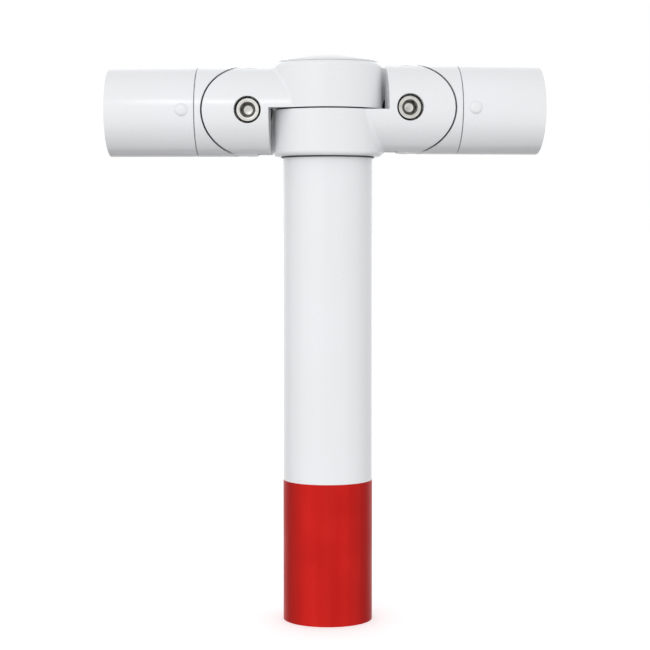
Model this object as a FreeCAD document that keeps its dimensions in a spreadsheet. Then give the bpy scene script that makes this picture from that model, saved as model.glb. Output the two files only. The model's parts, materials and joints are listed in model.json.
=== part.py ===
import FreeCAD, Part
import math
import os
import Sketcher
from FreeCAD import Placement, Rotation, Vector

# Rail post junction: the head of a tubular barrier post with two rail joints.
# Two identical swivel castings are stacked round the post, the second one
# turned over. Each has a ring that swings about the post and a fork that holds
# a tongued insert on a cross screw, so that its rail also tilts up and down.
#
# World frame: origin on the post's axis at its lower end, Z up, front at -Y.
# Arm frame: X runs out along the arm's axis from the post's axis, the arm's own
# ring is on the -Z side, and the screw heads are on the -Y side.

doc = FreeCAD.newDocument("rail_post_junction")

# ---------------------------------------------------------------- dimensions

DIMENSIONS = [
    ("tube_od", 60.3, "outside diameter of post and rails"),
    ("tube_wall", 2.9, "wall of post and rails"),
    ("ream", 0.5, "depth that a tube's end is reamed to take a spigot or plug"),
    ("parting_height", 347, "post's lower end to the plane between the rings"),
    ("band_height", 96, "height of the red film band at the post's lower end"),
    ("film", 0.2, "thickness of the red film"),
    ("ring_od", 74, "outside diameter of the swivel rings"),
    ("ring_gap", 1, "gap between the two rings"),
    ("ring_end", 31.3, "parting plane to the far face of a ring"),
    ("ring_round", 3.2, "rounding of a ring's far edge"),
    ("bush_wall", 1.2, "wall of the ring liner bush"),
    ("bush_play", 0.08, "running clearance of the liner bush on the post"),
    ("bush_lip", 0.9, "length of the liner bush past the ring's far face"),
    ("washer_thick", 0.8, "thickness of nylon washers"),
    ("washer_od", 70, "outside diameter of the washer between the rings"),
    ("arm_offset", 0.95, "arm's axis past the parting plane, away from its own ring"),
    ("arm_radius", 30, "radius of the arm and its cheeks"),
    ("fork_round", 0.5, "rounding of the fork's edges"),
    ("crease_round", 3, "hollow rounding where the arm runs into its ring"),
    ("relief", 37.9, "post's axis to the face cut for the other ring"),
    ("pivot", 52, "post's axis to the tilt pivot"),
    ("cheek_radius", 30.3, "radius of the cheek ends about the pivot"),
    ("seat_radius", 31.4, "radius of the insert's hollow seat about the pivot"),
    ("tongue_radius", 30.2, "radius of the tongue about the pivot"),
    ("tongue_half", 7, "half the tongue's thickness"),
    ("slot_half", 8, "half the width of the fork's slot"),
    ("slot_start", 37.4, "post's axis to the bottom of the slot"),
    ("tongue_back", 5, "pivot to the flat back of the tongue"),
    ("seam", 87.2, "post's axis to the end of the rail tube"),
    ("left_rail_end", 148, "post's axis to the open end of the left rail"),
    ("right_rail_end", 144, "post's axis to the open end of the right rail"),
    ("spigot_play", 0.1, "clearance of the insert's spigot in the rail"),
    ("ream_spare", 3, "reamed length past the end of a spigot or plug"),
    ("spigot_end", 116, "post's axis to the end of the spigot"),
    ("rivet_place", 96, "post's axis to the rivet"),
    ("rivet_radius", 2.4, "radius of the rivet's shank"),
    ("rivet_head", 4.3, "radius of the rivet's head"),
    ("rivet_rise", 1.7, "height of the rivet's domed head"),
    ("rivet_round", 1.65, "rounding of the rivet's head"),
    ("rivet_depth", 9, "length of the rivet's shank"),
    ("screw_radius", 5, "radius of the M10 pivot screw"),
    ("head_radius", 8, "radius of the screw's head"),
    ("head_height", 10, "height of the screw's head"),
    ("head_chamfer", 0.8, "chamfer round the screw's head"),
    ("head_face", 26.5, "arm's mid plane to the face of the screw's head"),
    ("screw_length", 40, "length of the screw under its head"),
    ("hex_key", 8, "width across the flats of the screw's socket"),
    ("key_depth", 5, "depth of the screw's socket"),
    ("counterbore", 9, "radius of the hole for the screw's head"),
    ("screw_hole", 5.1, "radius of the screw's hole in the cheeks"),
    ("nut_width", 17, "width across the flats of the nut"),
    ("nut_height", 8, "height of the nut"),
    ("pocket_width", 17.3, "width across the flats of the nut's pocket"),
    ("pin_bush", 7, "outside radius of the tongue's bush"),
    ("pin_play", 0.06, "running clearance of the bush on the screw"),
    ("disc_radius", 14, "radius of the friction washers"),
    ("setscrew_radius", 4, "radius of the M8 set screw"),
    ("setscrew_length", 6, "length of the set screw"),
    ("setscrew_hole", 4.4, "radius of the hole for the set screw in the liner bush"),
    ("setscrew_key", 4, "width across the flats of the set screw's socket"),
    ("setscrew_drop", 16, "parting plane to the set screw"),
    ("setscrew_gap", 0.35, "set screw's point to the post when it is slack"),
    ("cap_gap", 0.3, "gap between the upper ring and the cap's rim"),
    ("cap_radius", 33.8, "radius of the cap's rim"),
    ("cap_rim", 0.9, "height of the cap's upright rim"),
    ("cap_rise", 6.5, "rise of the dome over its rim"),
    ("cap_recess", 32.2, "radius of the recess under the cap"),
    ("recess_depth", 1.2, "depth of the recess under the cap"),
    ("plug_play", 0.1, "clearance of the cap's plug in the post"),
    ("plug_wall", 2.6, "wall of the cap's plug"),
    ("plug_length", 20, "length of the cap's plug"),
    ("cap_skin", 2, "thickness of the cap's top over the plug"),
    ("left_swing", 3, "left arm swung back from the front plane, degrees"),
    ("right_swing", 6.5, "right arm swung back from the front plane, degrees"),
]

UP = Vector(0, 0, 1)
FRONT = Vector(0, -1, 0)

dims = doc.addObject("Spreadsheet::Sheet", "dims")
for row, (alias, value, note) in enumerate(DIMENSIONS, start=1):
    dims.set("A%d" % row, note)
    dims.set("B%d" % row, str(value))
    dims.setAlias("B%d" % row, alias)
doc.recompute()

# Formulas that several features share, in the sheet's own aliases. INSIDE is a
# plane in the bore where a cut through one wall starts; REACH passes through.
TUBE = "dims.tube_od / 2"
TUBE_BORE = "(dims.tube_od / 2 - dims.tube_wall)"
REAMED = "(dims.tube_od / 2 - dims.tube_wall + dims.ream)"
RING = "dims.ring_od / 2"
RING_FACE = "(dims.ring_gap / 2 + dims.arm_offset)"
RING_LENGTH = "(dims.ring_end - dims.ring_gap / 2)"
GRIP_PLACE = "-(dims.setscrew_drop + dims.arm_offset)"
BUSH_BORE = "(dims.tube_od / 2 + dims.bush_play)"
BUSH_OUTER = "(dims.tube_od / 2 + dims.bush_play + dims.bush_wall)"
HEAD_SEAT = "(dims.head_face - dims.head_height)"
NUT_SEAT = "(dims.head_height + dims.screw_length - dims.head_face - dims.nut_height)"
CAP_BASE = "(dims.ring_end + dims.cap_gap)"
POST_TOP = "(dims.ring_end + dims.cap_gap + dims.recess_depth)"
INSIDE = "dims.arm_radius / 2"
REACH = "3 * dims.ring_od"

# ------------------------------------------------------------ sketch helpers


def new_body(label):
    body = doc.addObject("PartDesign::Body", label)
    body.Label = label
    return body


def origin_plane(body, role):
    for feature in body.Origin.OriginFeatures:
        if feature.Role == role:
            return feature
    raise ValueError("no plane " + role)


def new_sketch(body, name, role="XY_Plane", offset=None):
    """Sketch on one of the body's origin planes, lifted along its normal."""
    sketch = body.newObject("Sketcher::SketchObject", name)
    sketch.AttachmentSupport = [(origin_plane(body, role), "")]
    sketch.MapMode = "FlatFace"
    if offset:
        sketch.setExpression("AttachmentOffset.Base.z", offset)
    return sketch


def bind(sketch, constraint, name, formula):
    """Add a dimension to a sketch and tie it to a formula on the sheet."""
    index = sketch.addConstraint(constraint)
    sketch.renameConstraint(index, name)
    sketch.setExpression("Constraints." + name, formula)


def place_point(sketch, curve, point, name, across, up):
    """Hold one point of a curve at (across, up) from the sketch's origin."""
    origin = (-1, 1)
    for axis, kind, formula in ((-2, "DistanceX", across), (-1, "DistanceY", up)):
        if formula == "0":
            sketch.addConstraint(Sketcher.Constraint("PointOnObject", curve, point, axis))
        else:
            value = number(formula)
            rule = Sketcher.Constraint(kind, origin[0], origin[1], curve, point, value)
            bind(sketch, rule, name + kind[-1], formula)


def number(formula):
    """Value of a formula on the sheet, for a curve's first position."""
    return float(dims.evalExpression(formula))


def add_circle(sketch, name, radius, across="0", up="0"):
    centre = Vector(number(across), number(up), 0)
    curve = sketch.addGeometry(Part.Circle(centre, Vector(0, 0, 1), number(radius)), False)
    bind(sketch, Sketcher.Constraint("Radius", curve, number(radius)), name, radius)
    place_point(sketch, curve, 3, name + "_centre_", across, up)


def add_outline(sketch, name, corners):
    """Closed outline of straight sides through corners given as formulas."""
    points = [Vector(number(across), number(up), 0) for across, up in corners]
    count = len(points)
    curves = []
    for i in range(count):
        side = Part.LineSegment(points[i], points[(i + 1) % count])
        curves.append(sketch.addGeometry(side, False))
    for i in range(count):
        follower = curves[(i + 1) % count]
        sketch.addConstraint(Sketcher.Constraint("Coincident", curves[i], 2, follower, 1))
    for i, (across, up) in enumerate(corners):
        place_point(sketch, curves[i], 1, "%s_%d_" % (name, i), across, up)
    return curves


def add_box(sketch, name, left, right, low, high):
    add_outline(sketch, name, [(left, low), (right, low), (right, high), (left, high)])


def add_hexagon(sketch, name, width, across="0", up="0"):
    """Hexagon with two upright flats, by its width across the flats."""
    side = "(%s) / sqrt(3)" % width
    half = "(%s) / 2" % width
    corners = []
    for dx, dy in ((0, 1), (1, 0.5), (1, -0.5), (0, -1), (-1, -0.5), (-1, 0.5)):
        along = "%s + %g * %s" % (across, dx, half) if dx else across
        corners.append((along, "%s + %g * %s" % (up, dy, side)))
    add_outline(sketch, name, corners)


# ----------------------------------------------------------- feature helpers


def pad(body, sketch, length, reverse=False, both=False):
    feature = body.newObject("PartDesign::Pad", "Pad")
    feature.Profile = sketch
    feature.Reversed = reverse
    feature.Midplane = both
    feature.setExpression("Length", length)
    doc.recompute()
    return feature


def pocket(body, sketch, depth, reverse=False, both=False):
    """Cut a sketch into the body, and make sure that the cut takes something."""
    before = body.Shape.Volume
    feature = body.newObject("PartDesign::Pocket", "Pocket")
    feature.Profile = sketch
    feature.Reversed = reverse
    feature.Midplane = both
    feature.setExpression("Length", depth)
    doc.recompute()
    if body.Shape.Volume > before - 0.01:
        raise ValueError("%s: %s cuts nothing" % (body.Label, sketch.Name))
    return feature


def revolve(body, sketch, axis):
    """Turn a sketch once round one of its own axes or edges."""
    feature = body.newObject("PartDesign::Revolution", "Turn")
    feature.Profile = sketch
    feature.ReferenceAxis = (sketch, [axis])
    feature.Angle = 360
    doc.recompute()
    return feature


def dress(body, kind, edges, size):
    """Fillet or chamfer edges of the body's last feature."""
    feature = body.newObject("PartDesign::" + kind, kind)
    feature.Base = (feature.BaseFeature or body.Tip, edges)
    feature.setExpression("Radius" if kind == "Fillet" else "Size", size)
    doc.recompute()
    return feature


def edges_where(body, test):
    """Names of the body's edges that pass a test."""
    names = []
    for i, edge in enumerate(body.Shape.Edges, start=1):
        if test(edge):
            names.append("Edge%d" % i)
    return names


def circles_at(body, radius, axis, place):
    """Edges that are circles of one radius, square to an axis, at one place along it."""
    size = number(radius)
    level = number(place)

    def fits(edge):
        curve = edge.Curve
        if not isinstance(curve, Part.Circle) or abs(curve.Radius - size) > 0.01:
            return False
        square = abs(abs(curve.Axis.dot(axis)) - 1) < 1e-6
        return square and abs(curve.Center.dot(axis) - level) < 0.01

    return edges_where(body, fits)


def touches(body, edge, radius):
    """Whether a cylinder of one radius meets at an edge."""
    for face in body.Shape.ancestorsOfType(edge, Part.Face):
        surface = face.Surface
        if isinstance(surface, Part.Cylinder) and abs(surface.Radius - radius) < 0.01:
            return True
    return False


def crossings(body, first, second):
    """Edges where cylinders of two radii meet."""
    one = number(first)
    other = number(second)
    return edges_where(body, lambda edge: touches(body, edge, one) and touches(body, edge, other))


# -------------------------------------------------------------- placements


def post_frame(body):
    """Parts drawn from the post's lower end."""
    body.Placement = Placement()


def head_frame(body):
    """Parts drawn from the parting plane."""
    body.Placement = Placement(Vector(0, 0, number("dims.parting_height")), Rotation())
    body.setExpression("Placement.Base.z", "dims.parting_height")


def arm_frame(body, side):
    """Arm frame to world: the left arm's casting is turned over and faces left."""
    if side == "right":
        height = "dims.parting_height + dims.arm_offset"
        turn = Rotation(UP, number("dims.right_swing"))
    else:
        height = "dims.parting_height - dims.arm_offset"
        turn = Rotation(UP, 180 - number("dims.left_swing")) * Rotation(Vector(1, 0, 0), 180)
    body.Placement = Placement(Vector(0, 0, number(height)), turn)
    body.setExpression("Placement.Base.z", height)


# ------------------------------------------------------------ post and cap


def make_tube(label, radius, bore, length):
    body = new_body(label)
    sketch = new_sketch(body, label + "_section")
    add_circle(sketch, "outer", radius)
    add_circle(sketch, "inner", bore)
    pad(body, sketch, length)
    return body


def make_post():
    body = make_tube("post_tube", TUBE, TUBE_BORE, "dims.parting_height + " + POST_TOP)
    top = new_sketch(body, "post_reamed", offset="dims.parting_height + " + POST_TOP)
    add_circle(top, "reamed", REAMED)
    pocket(body, top, "dims.plug_length + dims.ream_spare")
    post_frame(body)
    film = make_tube("red_film_band", TUBE + " + dims.film", TUBE, "dims.band_height")
    post_frame(film)
    return [body, film]


def make_ring_washer():
    body = new_body("ring_slide_washer")
    sketch = new_sketch(body, "washer_section", offset="-dims.washer_thick / 2")
    add_circle(sketch, "outer", "dims.washer_od / 2")
    add_circle(sketch, "inner", BUSH_BORE)
    pad(body, sketch, "dims.washer_thick")
    head_frame(body)
    return body


def make_cap():
    """Domed cap: its plug stands in the post, its rim lies over the upper ring."""
    body = new_body("post_cap")
    sketch = new_sketch(body, "cap_section", "XZ_Plane")
    rim_top = CAP_BASE + " + dims.cap_rim"
    crown = rim_top + " + dims.cap_rise"
    plug = "(%s - dims.plug_play)" % REAMED
    hollow = "(%s - dims.plug_wall)" % plug
    ceiling = POST_TOP + " + dims.cap_skin - dims.cap_gap"
    foot = POST_TOP + " - dims.plug_length"
    corners = [
        ("0", crown),
        ("dims.cap_radius", rim_top),
        ("dims.cap_radius", CAP_BASE),
        ("dims.cap_recess", CAP_BASE),
        ("dims.cap_recess", POST_TOP),
        (plug, POST_TOP),
        (plug, foot),
        (hollow, foot),
        (hollow, ceiling),
        ("0", ceiling),
    ]
    points = [Vector(number(across), number(up), 0) for across, up in corners]
    rise = number("dims.cap_rise")
    dome_radius = (number("dims.cap_radius") ** 2 + rise ** 2) / (2 * rise)
    centre = Vector(0, points[0].y - dome_radius, 0)
    start = (points[1] - centre).getAngle(Vector(1, 0, 0))
    dome = Part.ArcOfCircle(Part.Circle(centre, Vector(0, 0, 1), dome_radius), start, math.pi / 2)
    arc = sketch.addGeometry(dome, False)
    sides = []
    for i in range(1, len(points)):
        side = Part.LineSegment(points[i], points[(i + 1) % len(points)])
        sides.append(sketch.addGeometry(side, False))
    sketch.addConstraint(Sketcher.Constraint("Coincident", arc, 1, sides[0], 1))
    sketch.addConstraint(Sketcher.Constraint("Coincident", arc, 2, sides[-1], 2))
    for first, second in zip(sides, sides[1:]):
        sketch.addConstraint(Sketcher.Constraint("Coincident", first, 2, second, 1))
    sketch.addConstraint(Sketcher.Constraint("PointOnObject", arc, 3, -2))
    place_point(sketch, arc, 2, "crown_", "0", crown)
    for i, (across, up) in enumerate(corners[1:]):
        place_point(sketch, sides[i], 1, "corner_%d_" % i, across, up)
    revolve(body, sketch, "V_Axis")
    head_frame(body)
    return body


# --------------------------------------------------------- swivel castings


def make_casting(label, side):
    """Ring and fork in one casting, drawn with its ring below the arm's axis."""
    body = new_body(label)

    # The ring's seam is turned away from the arm, so that the crease is one smooth edge.
    ring = new_sketch(body, label + "_ring", offset="-" + RING_FACE)
    ring.AttachmentOffset = Placement(Vector(0, 0, 0), Rotation(UP, 180))
    add_circle(ring, "ring", RING)
    pad(body, ring, RING_LENGTH, reverse=True)
    far_edge = circles_at(body, RING, UP, "-(dims.ring_end + dims.arm_offset)")
    dress(body, "Fillet", far_edge, "dims.ring_round")

    arm = new_sketch(body, label + "_arm", "YZ_Plane")
    add_circle(arm, "arm", "dims.arm_radius")
    pad(body, arm, "dims.pivot + dims.cheek_radius")

    # Above its own ring the arm starts clear of the other casting's ring.
    relief = new_sketch(body, label + "_relief", "XZ_Plane")
    add_box(relief, "relief", "-dims.ring_od", "dims.relief", "-" + RING_FACE, "dims.ring_od")
    pocket(body, relief, REACH, both=True)

    crease = crossings(body, RING, "dims.arm_radius")
    dress(body, "Fillet", crease, "dims.crease_round")

    make_cheek_ends(body, label)

    bore = new_sketch(body, label + "_bore")
    add_circle(bore, "bore", BUSH_OUTER)
    pocket(body, bore, REACH, both=True)

    slot = new_sketch(body, label + "_slot")
    add_box(slot, "slot", "dims.slot_start", "3 * dims.pivot", "-dims.slot_half", "dims.slot_half")
    pocket(body, slot, REACH, both=True)

    dress(body, "Fillet", fork_edges(body), "dims.fork_round")
    make_screw_holes(body, label)
    mouth = crossings(body, "dims.counterbore", "dims.arm_radius")
    dress(body, "Fillet", mouth, "dims.fork_round")
    arm_frame(body, side)
    return body


def make_cheek_ends(body, label):
    """Trim the arm's end to a half circle about the pivot."""
    sketch = new_sketch(body, label + "_cheek", "XZ_Plane")
    far = number("dims.pivot + dims.ring_od")
    high = number("dims.ring_od")
    pivot = number("dims.pivot")
    radius = number("dims.cheek_radius")
    corners = [Vector(pivot, radius, 0), Vector(pivot, high, 0), Vector(far, high, 0)]
    corners += [Vector(far, -high, 0), Vector(pivot, -high, 0), Vector(pivot, -radius, 0)]
    sides = []
    for first, second in zip(corners, corners[1:]):
        sides.append(sketch.addGeometry(Part.LineSegment(first, second), False))
    circle = Part.Circle(Vector(pivot, 0, 0), Vector(0, 0, 1), radius)
    arc = sketch.addGeometry(Part.ArcOfCircle(circle, -math.pi / 2, math.pi / 2), False)
    for first, second in zip(sides, sides[1:]):
        sketch.addConstraint(Sketcher.Constraint("Coincident", first, 2, second, 1))
    sketch.addConstraint(Sketcher.Constraint("Coincident", sides[-1], 2, arc, 1))
    sketch.addConstraint(Sketcher.Constraint("Coincident", arc, 2, sides[0], 1))
    for index, kind in enumerate(("Vertical", "Horizontal", "Vertical", "Horizontal", "Vertical")):
        sketch.addConstraint(Sketcher.Constraint(kind, sides[index]))
    place_point(sketch, arc, 3, "pivot_", "dims.pivot", "0")
    bind(sketch, Sketcher.Constraint("Radius", arc, radius), "cheek", "dims.cheek_radius")
    place_point(sketch, sides[1], 2, "far_", "dims.pivot + dims.ring_od", "dims.ring_od")
    place_point(sketch, sides[3], 2, "low_", "dims.pivot", "-dims.ring_od")
    pocket(body, sketch, REACH, both=True)


def make_screw_holes(body, label):
    """Cross hole with a counterbore in front and a nut pocket behind, set screw hole."""
    hole = new_sketch(body, label + "_hole", "XZ_Plane")
    add_circle(hole, "hole", "dims.screw_hole", "dims.pivot")
    pocket(body, hole, REACH, both=True)

    head = new_sketch(body, label + "_head", "XZ_Plane", offset=HEAD_SEAT)
    add_circle(head, "head", "dims.counterbore", "dims.pivot")
    pocket(body, head, REACH, reverse=True)

    nut = new_sketch(body, label + "_nut", "XZ_Plane", offset="-" + NUT_SEAT)
    add_hexagon(nut, "nut", "dims.pocket_width", "dims.pivot")
    pocket(body, nut, REACH)

    grip = new_sketch(body, label + "_grip", "XZ_Plane", offset="-" + INSIDE)
    add_circle(grip, "grip", "dims.setscrew_radius", "0", GRIP_PLACE)
    pocket(body, grip, REACH)


def fork_edges(body):
    """Edges round the outside of both cheeks and along the slot."""
    start = number("dims.slot_start")
    arm = number("dims.arm_radius")
    cheek = number("dims.cheek_radius")

    def on_fork(edge):
        box = edge.BoundBox
        beyond_ring = box.XMin > start - 0.01 and box.XMax > start + 0.01
        inside_cheek = isinstance(edge.Curve, Part.Circle) and touches(body, edge, cheek)
        return (touches(body, edge, arm) and beyond_ring) or inside_cheek

    return edges_where(body, on_fork)


def make_ring_bush(label, side):
    """Nylon liner between ring and post, bored for the set screw."""
    body = new_body(label)
    sketch = new_sketch(body, label + "_section", offset="-" + RING_FACE)
    add_circle(sketch, "outer", BUSH_OUTER)
    add_circle(sketch, "inner", BUSH_BORE)
    pad(body, sketch, RING_LENGTH + " + dims.bush_lip", reverse=True)
    hole = new_sketch(body, label + "_hole", "XZ_Plane", offset="-" + INSIDE)
    add_circle(hole, "hole", "dims.setscrew_hole", "0", GRIP_PLACE)
    pocket(body, hole, REACH)
    arm_frame(body, side)
    return body


def make_set_screw(label, side):
    """M8 socket set screw at the back of a ring."""
    body = new_body(label)
    point = "(%s + dims.setscrew_gap)" % TUBE
    thread = new_sketch(body, label + "_thread", "XZ_Plane", offset="-" + point)
    add_circle(thread, "thread", "dims.setscrew_radius - dims.bush_play", "0", GRIP_PLACE)
    pad(body, thread, "dims.setscrew_length", reverse=True)
    outer = "-(%s + dims.setscrew_length)" % point
    key = new_sketch(body, label + "_key", "XZ_Plane", offset=outer)
    add_hexagon(key, "key", "dims.setscrew_key", "0", GRIP_PLACE)
    pocket(body, key, "dims.setscrew_length / 2", reverse=True)
    arm_frame(body, side)
    return body


# --------------------------------------------------------------- tilt pivot


def make_pivot_screw(label, side):
    """M10 socket head cap screw, head to the front."""
    body = new_body(label)
    shank = new_sketch(body, label + "_shank", "XZ_Plane", offset=HEAD_SEAT)
    add_circle(shank, "shank", "dims.screw_radius", "dims.pivot")
    pad(body, shank, "dims.screw_length", reverse=True)
    head = new_sketch(body, label + "_head", "XZ_Plane", offset=HEAD_SEAT)
    add_circle(head, "head", "dims.head_radius", "dims.pivot")
    pad(body, head, "dims.head_height")
    rim = circles_at(body, "dims.head_radius", FRONT, "dims.head_face")
    dress(body, "Chamfer", rim, "dims.head_chamfer")
    key = new_sketch(body, label + "_key", "XZ_Plane", offset="dims.head_face")
    add_hexagon(key, "key", "dims.hex_key", "dims.pivot")
    pocket(body, key, "dims.key_depth")
    arm_frame(body, side)
    return body


def make_pivot_nut(label, side):
    """M10 nut, held from turning by its pocket."""
    body = new_body(label)
    sketch = new_sketch(body, label + "_section", "XZ_Plane", offset="-" + NUT_SEAT)
    add_hexagon(sketch, "nut", "dims.nut_width", "dims.pivot")
    add_circle(sketch, "thread", "dims.screw_radius", "dims.pivot")
    pad(body, sketch, "dims.nut_height", reverse=True)
    arm_frame(body, side)
    return body


def make_friction_washers(label, side):
    """One nylon washer on each side of the tongue, as two solids."""
    thick = number("dims.washer_thick")
    gap = number("dims.slot_half - dims.tongue_half")
    start = number("dims.tongue_half") + (gap - thick) / 2
    centre = number("dims.pivot")
    outer = number("dims.disc_radius")
    inner = number("dims.screw_hole")
    rings = []
    for front in (-start - thick, start):
        base = Vector(centre, front, 0)
        disc = Part.makeCylinder(outer, thick, base, Vector(0, 1, 0))
        hole = Part.makeCylinder(inner, thick, base, Vector(0, 1, 0))
        rings.append(disc.cut(hole))
    body = doc.addObject("Part::Feature", label)
    body.Label = label
    body.Shape = Part.makeCompound(rings)
    arm_frame(body, side)
    return body


def make_pivot_bush(label, side):
    """Steel bush pressed into the tongue, running on the screw."""
    body = new_body(label)
    sketch = new_sketch(body, label + "_section", "XZ_Plane")
    add_circle(sketch, "outer", "dims.pin_bush", "dims.pivot")
    add_circle(sketch, "inner", "dims.screw_radius + dims.pin_play", "dims.pivot")
    pad(body, sketch, "2 * dims.tongue_half", both=True)
    arm_frame(body, side)
    return body


# --------------------------------------------------------------------- rail


def make_insert(label, side):
    """Collar with a hollow seat, tongue towards the post, spigot in the rail."""
    body = new_body(label)

    collar = new_sketch(body, label + "_collar", "YZ_Plane", offset="dims.pivot")
    add_circle(collar, "collar", TUBE)
    pad(body, collar, "dims.seam - dims.pivot")

    seat = new_sketch(body, label + "_seat", "XZ_Plane")
    add_circle(seat, "seat", "dims.seat_radius", "dims.pivot")
    pocket(body, seat, REACH, both=True)

    spigot = new_sketch(body, label + "_spigot", "YZ_Plane", offset="dims.seam")
    add_circle(spigot, "spigot", REAMED + " - dims.spigot_play")
    pad(body, spigot, "dims.spigot_end - dims.seam")

    make_web(body, label)
    make_tongue(body, label)

    back = new_sketch(body, label + "_back", "XZ_Plane")
    limit = "dims.pivot - dims.tongue_back"
    add_box(back, "back", "-dims.pivot", limit, "-dims.ring_od", "dims.ring_od")
    pocket(body, back, REACH, both=True)

    pin = new_sketch(body, label + "_pin", "XZ_Plane")
    add_circle(pin, "pin", "dims.pin_bush", "dims.pivot")
    pocket(body, pin, REACH, both=True)

    rivet = new_sketch(body, label + "_rivet", "XZ_Plane", offset=TUBE + " - dims.rivet_depth")
    add_circle(rivet, "rivet", "dims.rivet_radius", "dims.rivet_place")
    pocket(body, rivet, REACH, reverse=True)

    arm_frame(body, side)
    return body


def make_web(body, label):
    """Join tongue and collar with the middle slice of a cylinder as round as the arm."""
    sketch = new_sketch(body, label + "_web", "YZ_Plane", offset="dims.pivot")
    radius = number("dims.arm_radius")
    half = number("dims.tongue_half")
    high = (radius ** 2 - half ** 2) ** 0.5
    corners = [Vector(half, -high, 0), Vector(half, high, 0)]
    corners += [Vector(-half, high, 0), Vector(-half, -high, 0)]
    circle = Part.Circle(Vector(0, 0, 0), Vector(0, 0, 1), radius)
    lean = Vector(half, high, 0).getAngle(Vector(1, 0, 0))
    right = sketch.addGeometry(Part.LineSegment(corners[0], corners[1]), False)
    top = sketch.addGeometry(Part.ArcOfCircle(circle, lean, math.pi - lean), False)
    left = sketch.addGeometry(Part.LineSegment(corners[2], corners[3]), False)
    low = sketch.addGeometry(Part.ArcOfCircle(circle, math.pi + lean, 2 * math.pi - lean), False)
    joins = ((right, 2, top, 1), (top, 2, left, 1), (left, 2, low, 1), (low, 2, right, 1))
    for first, end, second, start in joins:
        sketch.addConstraint(Sketcher.Constraint("Coincident", first, end, second, start))
    for arc in (top, low):
        sketch.addConstraint(Sketcher.Constraint("Coincident", arc, 3, -1, 1))
    for line in (right, left):
        sketch.addConstraint(Sketcher.Constraint("Vertical", line))
    bind(sketch, Sketcher.Constraint("Radius", top, radius), "web_radius", "dims.arm_radius")
    rule = Sketcher.Constraint("DistanceX", -1, 1, right, 1, half)
    bind(sketch, rule, "web_right", "dims.tongue_half")
    rule = Sketcher.Constraint("DistanceX", -1, 1, left, 1, -half)
    bind(sketch, rule, "web_left", "-dims.tongue_half")
    pad(body, sketch, "dims.seam - dims.pivot")


def make_tongue(body, label):
    """Slice of a ball about the pivot, so that its rim is as round as the arm."""
    sketch = new_sketch(body, label + "_tongue", "XY_Plane")
    pivot = number("dims.pivot")
    radius = number("dims.tongue_radius")
    half = number("dims.tongue_half")
    reach = (radius ** 2 - half ** 2) ** 0.5
    corners = [Vector(pivot, half, 0), Vector(pivot, -half, 0)]
    corners += [Vector(pivot + reach, -half, 0), Vector(pivot + reach, half, 0)]
    lean = Vector(reach, half, 0).getAngle(Vector(1, 0, 0))
    circle = Part.Circle(Vector(pivot, 0, 0), Vector(0, 0, 1), radius)
    axle = sketch.addGeometry(Part.LineSegment(corners[0], corners[1]), False)
    front = sketch.addGeometry(Part.LineSegment(corners[1], corners[2]), False)
    rim = sketch.addGeometry(Part.ArcOfCircle(circle, -lean, lean), False)
    back = sketch.addGeometry(Part.LineSegment(corners[3], corners[0]), False)
    joins = ((axle, 2, front, 1), (front, 2, rim, 1), (rim, 2, back, 1), (back, 2, axle, 1))
    for first, end, second, start in joins:
        sketch.addConstraint(Sketcher.Constraint("Coincident", first, end, second, start))
    for line in (front, back):
        sketch.addConstraint(Sketcher.Constraint("Horizontal", line))
    place_point(sketch, rim, 3, "pivot_", "dims.pivot", "0")
    bind(sketch, Sketcher.Constraint("Radius", rim, radius), "rim", "dims.tongue_radius")
    place_point(sketch, axle, 1, "back_", "dims.pivot", "dims.tongue_half")
    place_point(sketch, axle, 2, "front_", "dims.pivot", "-dims.tongue_half")
    revolve(body, sketch, "Edge1")


def make_rail(label, side):
    """Rail tube with a spot face for the rivet's head."""
    body = new_body(label)
    sketch = new_sketch(body, label + "_section", "YZ_Plane", offset="dims.seam")
    add_circle(sketch, "outer", TUBE)
    add_circle(sketch, "inner", TUBE_BORE)
    pad(body, sketch, "dims.%s_rail_end - dims.seam" % side)
    reamed = new_sketch(body, label + "_reamed", "YZ_Plane", offset="dims.seam")
    add_circle(reamed, "reamed", REAMED)
    pocket(body, reamed, "dims.spigot_end - dims.seam + dims.ream_spare", reverse=True)
    hole = new_sketch(body, label + "_hole", "XZ_Plane", offset=INSIDE)
    add_circle(hole, "hole", "dims.rivet_radius", "dims.rivet_place")
    pocket(body, hole, REACH, reverse=True)
    face = new_sketch(body, label + "_face", "XZ_Plane", offset=rivet_seat())
    add_circle(face, "face", "dims.rivet_head", "dims.rivet_place")
    pocket(body, face, REACH, reverse=True)
    arm_frame(body, side)
    return body


def rivet_seat():
    """Depth at which the tube's round surface just covers the rivet's head."""
    return "sqrt((%s)^2 - dims.rivet_head^2)" % TUBE


def make_rivet(label, side):
    """Dome head rivet through the rail into the spigot."""
    body = new_body(label)
    head = new_sketch(body, label + "_head", "XZ_Plane", offset=rivet_seat())
    add_circle(head, "head", "dims.rivet_head", "dims.rivet_place")
    thick = "%s + dims.rivet_rise - %s" % (TUBE, rivet_seat())
    pad(body, head, thick)
    rim = circles_at(body, "dims.rivet_head", FRONT, TUBE + " + dims.rivet_rise")
    dress(body, "Fillet", rim, "dims.rivet_round")
    shank = new_sketch(body, label + "_shank", "XZ_Plane", offset=rivet_seat())
    add_circle(shank, "shank", "dims.rivet_radius", "dims.rivet_place")
    depth = "%s - (%s - dims.rivet_depth)" % (rivet_seat(), TUBE)
    pad(body, shank, depth, reverse=True)
    arm_frame(body, side)
    return body


# ----------------------------------------------------------------- assembly

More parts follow.
